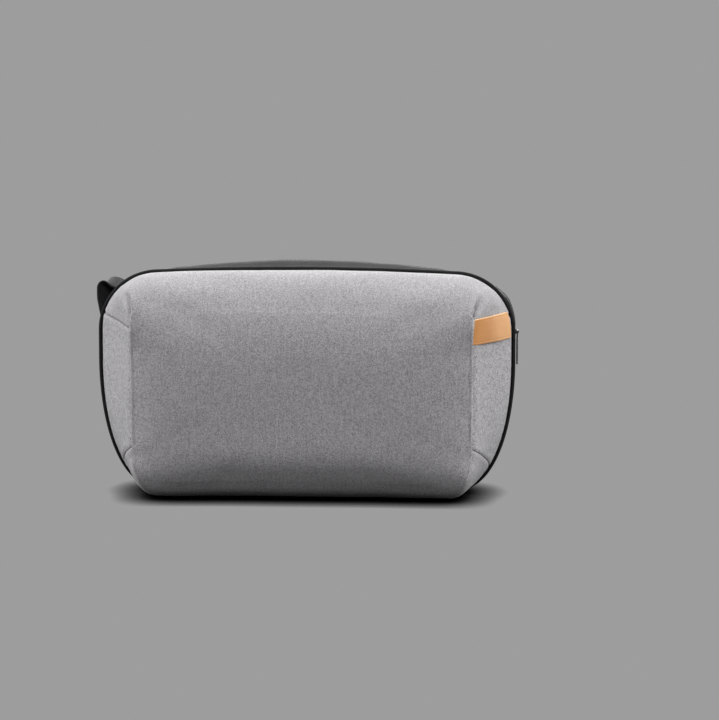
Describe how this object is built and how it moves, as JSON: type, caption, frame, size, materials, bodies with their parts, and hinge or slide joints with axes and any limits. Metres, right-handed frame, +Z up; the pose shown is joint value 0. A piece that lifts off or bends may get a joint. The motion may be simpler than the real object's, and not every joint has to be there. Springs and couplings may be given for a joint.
{
  "type": "camera bag",
  "caption": "Padded sling camera bag with a zipped clamshell front, leather tab, folding dividers, zip pocket and a swinging webbing strap.",
  "frame": {"origin": "middle of the underside of the base panel, in the plane where the grey front meets the black back", "axes": "+Z up, -Y towards the grey front face, +X to the right as seen from the front (the side with the leather tab)"},
  "size_m": [0.3504, 0.148, 0.1907],
  "materials": {
    "heather_fabric": "heathered light grey woven polyester over padding",
    "black_fabric": "black coated woven nylon, matt",
    "trim": "black piping and woven zip tape",
    "leather": "smooth tan leather with burnished edges",
    "lining": "brushed grey loop lining over foam",
    "air_mesh": "black open spacer mesh",
    "webbing": "black woven webbing",
    "zip_metal": "black painted metal, satin",
    "moulded_plastic": "black moulded plastic, satin",
    "board": "semi-rigid board"
  },
  "bodies": {
    "bag_back": {"back_shell": "black_fabric", "back_foam_liner": "lining", "back_pad_left": "air_mesh", "back_pad_right": "air_mesh", "base_panel": "black_fabric", "base_board": "board", "base_foam": "lining", "front_base_shell": "heather_fabric", "lower_piping": "trim", "lower_joining_band": "black_fabric", "zip_tape_rear": "trim", "zip_stop_left": "zip_metal", "zip_stop_right": "zip_metal", "tablet_sleeve": "lining", "sleeve_binding": "trim", "divider_left": "lining", "divider_right": "lining", "side_web_left": "lining", "side_web_right": "lining", "left_side_loop": "webbing", "right_side_loop": "webbing", "ring_tab_left": "webbing", "ring_tab_right": "webbing"},
    "front_door": {"front_panel_shell": "heather_fabric", "left_gusset_panel": "heather_fabric", "right_gusset_panel": "heather_fabric", "front_foam_liner": "lining", "front_piping": "trim", "zip_tape_front": "trim", "leather_tab": "leather", "inner_pocket_panel": "lining", "inner_pocket_zip_tape": "trim"},
    "main_slider": {"main_zip_slider": "zip_metal"},
    "main_pull": {"main_zip_pull": "moulded_plastic"},
    "pocket_slider": {"inner_pocket_slider": "zip_metal"},
    "pocket_pull": {"inner_pocket_pull": "moulded_plastic"},
    "flap_left": {"divider_flap_left": "lining"},
    "flap_right": {"divider_flap_right": "lining"},
    "strap": {"strap_ring_left": "zip_metal", "strap_ring_right": "zip_metal", "shoulder_strap": "webbing"},
    "adjuster": {"strap_adjuster": "moulded_plastic"},
    "lever": {"adjuster_lever": "moulded_plastic"}
  },
  "joints": [
    {"name": "front_open", "type": "hinge", "parent": "bag_back", "child": "front_door", "pos_m": [0, -0.05, 0.004], "axis": [1, 0, 0], "range_deg": [0, 45]},
    {"name": "main_zip_run", "type": "hinge", "parent": "bag_back", "child": "main_slider", "pos_m": [0.122, 0.0062, 0.1345], "axis": [0, -1, 0], "range_deg": [0, 80]},
    {"name": "main_pull_swing", "type": "hinge", "parent": "main_slider", "child": "main_pull", "pos_m": [0.17355, 0.0062, 0.1345], "axis": [0, -1, 0], "range_deg": [0, 150]},
    {"name": "pocket_zip_run", "type": "slide", "parent": "front_door", "child": "pocket_slider", "axis": [-1, 0, 0], "range_m": [0, 0.18]},
    {"name": "pocket_pull_swing", "type": "hinge", "parent": "pocket_slider", "child": "pocket_pull", "pos_m": [0.1, -0.04255, 0.122], "axis": [0, 0, -1], "range_deg": [0, 120]},
    {"name": "left_flap_fold", "type": "hinge", "parent": "bag_back", "child": "flap_left", "pos_m": [-0.055, 0, 0.1158], "axis": [0, -1, 0], "range_deg": [0, 90]},
    {"name": "right_flap_fold", "type": "hinge", "parent": "bag_back", "child": "flap_right", "pos_m": [0.055, 0, 0.1158], "axis": [0, 1, 0], "range_deg": [0, 90]},
    {"name": "strap_swing", "type": "hinge", "parent": "bag_back", "child": "strap", "pos_m": [0, 0.0535, 0.1745], "axis": [1, 0, 0], "range_deg": [0, 165]},
    {"name": "adjuster_slide", "type": "slide", "parent": "strap", "child": "adjuster", "axis": [1, 0, 0], "range_m": [0, 0.08]},
    {"name": "lever_lift", "type": "hinge", "parent": "adjuster", "child": "lever", "pos_m": [-0.051, 0.073, 0.0106], "axis": [0, -1, 0], "range_deg": [0, 70]}
  ]
}
